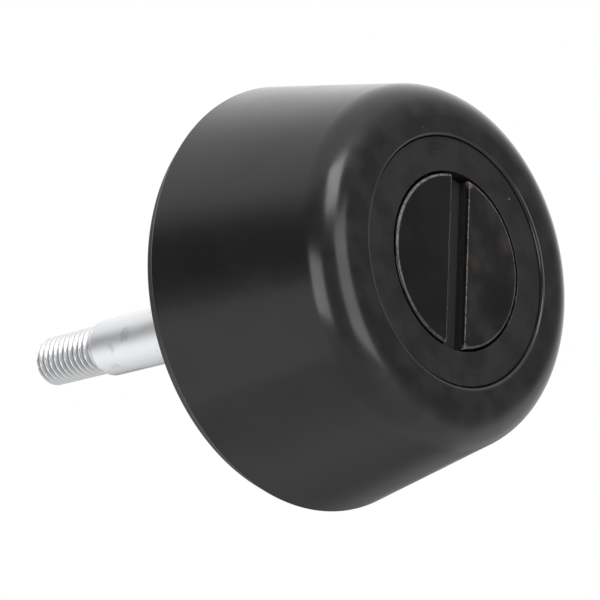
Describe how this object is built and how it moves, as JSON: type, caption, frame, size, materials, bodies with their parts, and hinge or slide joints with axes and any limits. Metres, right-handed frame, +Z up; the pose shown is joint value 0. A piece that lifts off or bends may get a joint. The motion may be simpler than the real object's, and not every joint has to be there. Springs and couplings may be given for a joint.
{
  "type": "furniture levelling foot",
  "caption": "Round tapered levelling foot with a soft cover, a slotted drive disc in a split collar in its sole, and a turning stud with a plain shank and a threaded end.",
  "frame": {"origin": "centre of the sole, on the floor", "axes": "+Z up along the stud, +X along the slot of the drive disc at rest"},
  "size_m": [0.079, 0.079, 0.1115],
  "materials": {
    "cover_rubber": "satin moulded elastomer",
    "core_nylon": "moulded",
    "collar_plastic": "fine moulded satin",
    "disc_gloss": "gloss, edges worn",
    "bushing_acetal": "machined",
    "washer_steel": "plain",
    "plate_paint": "black powder coat",
    "seal_rubber": "matt",
    "screw_steel": "zinc plated",
    "screw_black": "black zinc",
    "stud_zinc": "bright zinc plated",
    "pin_steel": "plain"
  },
  "bodies": {
    "foot": {"outer_cover": "cover_rubber", "core": "core_nylon", "collar_half_left": "collar_plastic", "collar_half_right": "collar_plastic", "lower_bushing": "bushing_acetal", "lift_washer": "bushing_acetal", "thrust_washer": "washer_steel", "back_plate": "plate_paint", "rear_bushing": "bushing_acetal", "shaft_seal": "seal_rubber", "collar_screw_1": "screw_steel", "plate_screw_1": "screw_black", "collar_screw_2": "screw_steel", "plate_screw_2": "screw_black", "collar_screw_3": "screw_steel", "plate_screw_3": "screw_black", "collar_screw_4": "screw_steel", "plate_screw_4": "screw_black"},
    "spindle": {"stud": "stud_zinc", "drive_disc": "disc_gloss", "drive_pin": "pin_steel"}
  },
  "joints": [
    {"name": "spindle_turn", "type": "hinge", "parent": "foot", "child": "spindle", "pos_m": [0, 0, 0.02], "axis": [0, 0, 1], "continuous": true}
  ]
}
